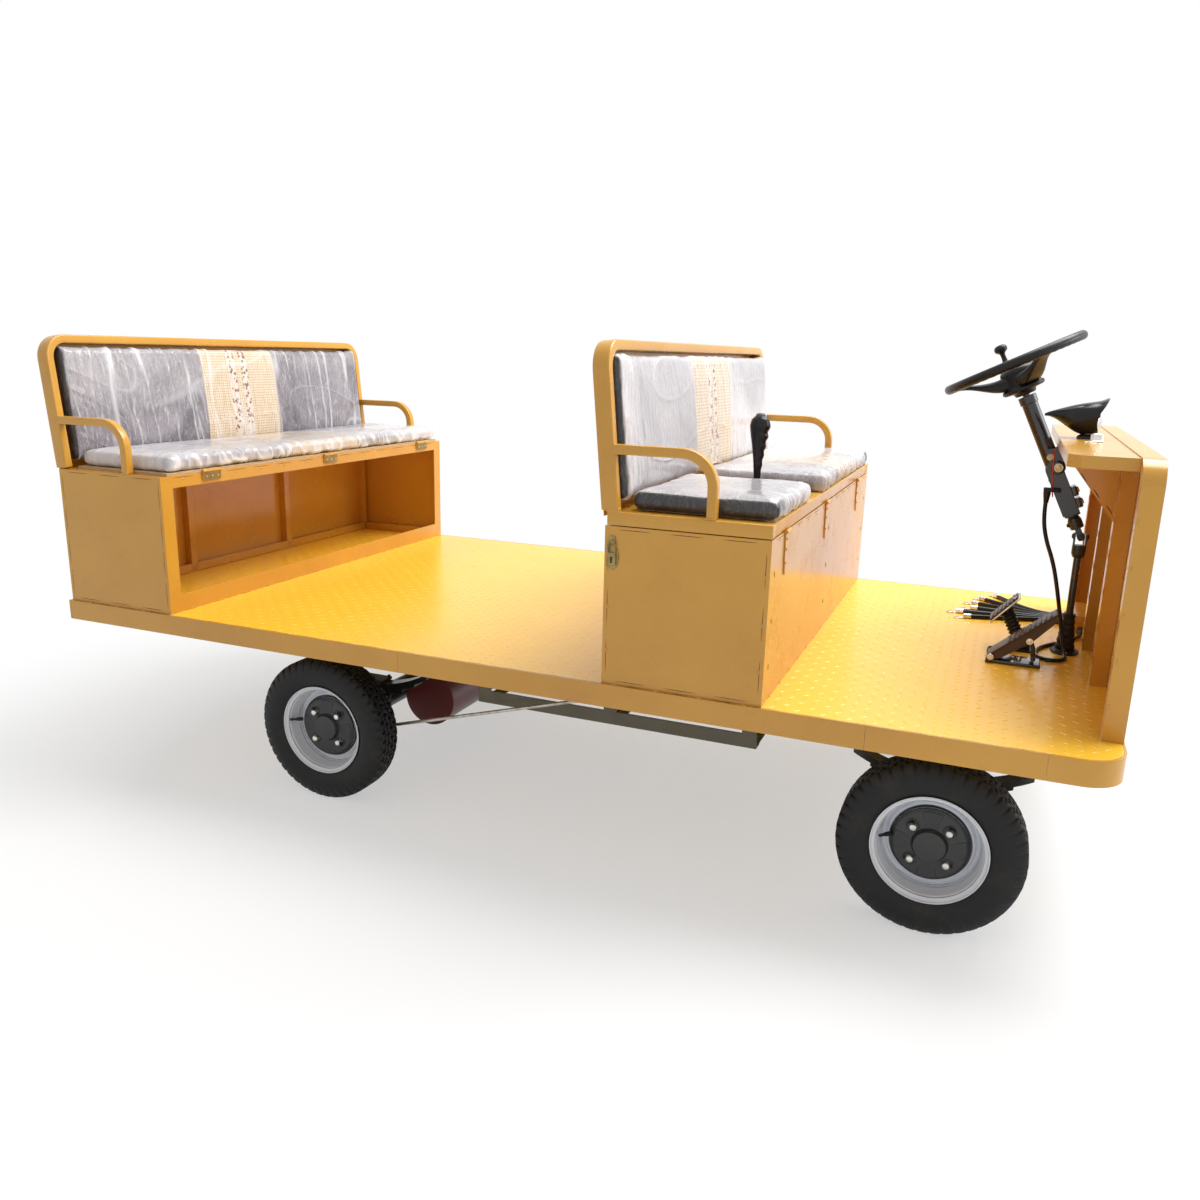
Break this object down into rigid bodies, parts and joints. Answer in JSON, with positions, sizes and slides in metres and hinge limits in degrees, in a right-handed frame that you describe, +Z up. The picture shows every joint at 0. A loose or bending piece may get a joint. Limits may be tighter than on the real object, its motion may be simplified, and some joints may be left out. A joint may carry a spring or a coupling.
{
  "type": "electric platform truck",
  "caption": "Flat-deck electric works truck with open-front rear bench, tipping driver's seat, arched dash and steered leaf-sprung front axle.",
  "frame": {"origin": "on the ground, at the middle of the truck's length and width", "axes": "+X forward, +Y to the truck's left, +Z up"},
  "size_m": [3.0423, 1.56, 1.4582],
  "materials": {
    "deck_paint": "golden yellow paint on checker plate",
    "paint": "golden yellow paint",
    "chassis_paint": "black paint",
    "rack_steel": "olive grey primer",
    "wrapped_cushion": "grey cover in clear wrinkled film",
    "board": "plywood",
    "zinc": "zinc plated",
    "black_plastic": "satin black",
    "black_paint": "satin black paint",
    "boot_rubber": "black rubber",
    "motor_paint": "maroon paint",
    "rim_paint": "pale grey paint",
    "hub_paint": "black paint",
    "tyre": "black rubber"
  },
  "bodies": {
    "chassis": {"deck_plate": "deck_paint", "deck_lips": "paint", "chassis_frame": "chassis_paint", "battery_rack": "rack_steel", "rear_box": "paint", "driver_box": "paint", "rear_seat_frame": "paint", "rear_back_cushion": "wrapped_cushion", "seat_hinges": "paint", "seat_latches": "paint", "travel_lever": "black_plastic", "dash_cowl": "paint", "dash_frame": "paint", "steering_column": "black_paint", "shaft_boot": "boot_rubber", "steering_gearbox": "black_paint", "front_axle": "black_paint", "rear_axle": "black_paint", "drive_motor": "motor_paint", "leaf_springs": "black_paint", "spring_mountings": "black_paint", "brake_rods": "zinc", "pedals": "black_paint", "dash_instruments": "black_plastic"},
    "wheel_front_right": {"rim_front_right": "rim_paint", "tyre_front_right": "tyre", "hub_front_right": "hub_paint"},
    "wheel_front_left": {"rim_front_left": "rim_paint", "tyre_front_left": "tyre", "hub_front_left": "hub_paint"},
    "wheel_rear_right": {"rim_rear_right": "rim_paint", "tyre_rear_right": "tyre", "hub_rear_right": "hub_paint"},
    "wheel_rear_left": {"rim_rear_left": "rim_paint", "tyre_rear_left": "tyre", "hub_rear_left": "hub_paint"},
    "driver_seat": {"driver_seat_frame": "paint", "driver_back_cushion": "wrapped_cushion", "driver_seat_cushions": "wrapped_cushion"},
    "rear_seat": {"rear_seat_board": "board", "rear_seat_cushion": "wrapped_cushion"},
    "handwheel": {"steering_wheel": "black_plastic", "steering_shaft": "black_paint"},
    "lower_shaft": {"lower_shaft": "black_paint"},
    "pitman": {"pitman_arm": "black_paint"},
    "knuckle_right": {"knuckle_right": "black_paint"},
    "knuckle_left": {"knuckle_left": "black_paint"},
    "links": {"steering_links": "black_paint"}
  },
  "joints": [
    {"name": "seat_tip", "type": "hinge", "parent": "chassis", "child": "driver_seat", "pos_m": [0.75056, 0, 0.969], "axis": [0, 1, 0], "range_deg": [0, 70]},
    {"name": "rear_seat_tip", "type": "hinge", "parent": "chassis", "child": "rear_seat", "pos_m": [-1.05944, 0, 0.988], "axis": [0, 1, 0], "range_deg": [0, 90]},
    {"name": "steer", "type": "hinge", "parent": "chassis", "child": "knuckle_right", "pos_m": [1.14526, -0.48, 0.225], "axis": [0, 0, 1], "range_deg": [-30, 30]},
    {"name": "steer_left", "type": "hinge", "parent": "chassis", "child": "knuckle_left", "pos_m": [1.14526, 0.48, 0.225], "axis": [0, 0, 1], "range_deg": [-30, 30]},
    {"name": "links_swing", "type": "hinge", "parent": "knuckle_right", "child": "links", "pos_m": [1.02526, -0.48, 0.157], "axis": [0, 0, 1], "range_deg": [-30, 30]},
    {"name": "pitman_swing", "type": "hinge", "parent": "chassis", "child": "pitman", "pos_m": [1.38126, 0.08, 0.405], "axis": [0, 0, 1], "range_deg": [-30, 30]},
    {"name": "lower_shaft_turn", "type": "hinge", "parent": "chassis", "child": "lower_shaft", "pos_m": [1.42626, 0.08, 0.67], "axis": [0, 0, 1], "range_deg": [-360, 360]},
    {"name": "handwheel_turn", "type": "hinge", "parent": "chassis", "child": "handwheel", "pos_m": [1.42626, 0.08, 0.905], "axis": [-0.4384, 0, 0.8988], "range_deg": [-360, 360]},
    {"name": "spin_front_right", "type": "hinge", "parent": "knuckle_right", "child": "wheel_front_right", "pos_m": [1.14526, -0.593, 0.225], "axis": [0, 1, 0], "continuous": true},
    {"name": "spin_front_left", "type": "hinge", "parent": "knuckle_left", "child": "wheel_front_left", "pos_m": [1.14526, 0.593, 0.225], "axis": [0, 1, 0], "continuous": true},
    {"name": "spin_rear_right", "type": "hinge", "parent": "chassis", "child": "wheel_rear_right", "pos_m": [-0.63774, -0.593, 0.225], "axis": [0, 1, 0], "continuous": true},
    {"name": "spin_rear_left", "type": "hinge", "parent": "chassis", "child": "wheel_rear_left", "pos_m": [-0.63774, 0.593, 0.225], "axis": [0, 1, 0], "continuous": true}
  ],
  "couplings": [
    {"joint": "steer_left", "follows": "steer", "ratio": 1},
    {"joint": "links_swing", "follows": "steer", "ratio": -1},
    {"joint": "pitman_swing", "follows": "steer", "ratio": 1},
    {"joint": "lower_shaft_turn", "follows": "steer", "ratio": 12},
    {"joint": "handwheel_turn", "follows": "steer", "ratio": 12}
  ]
}
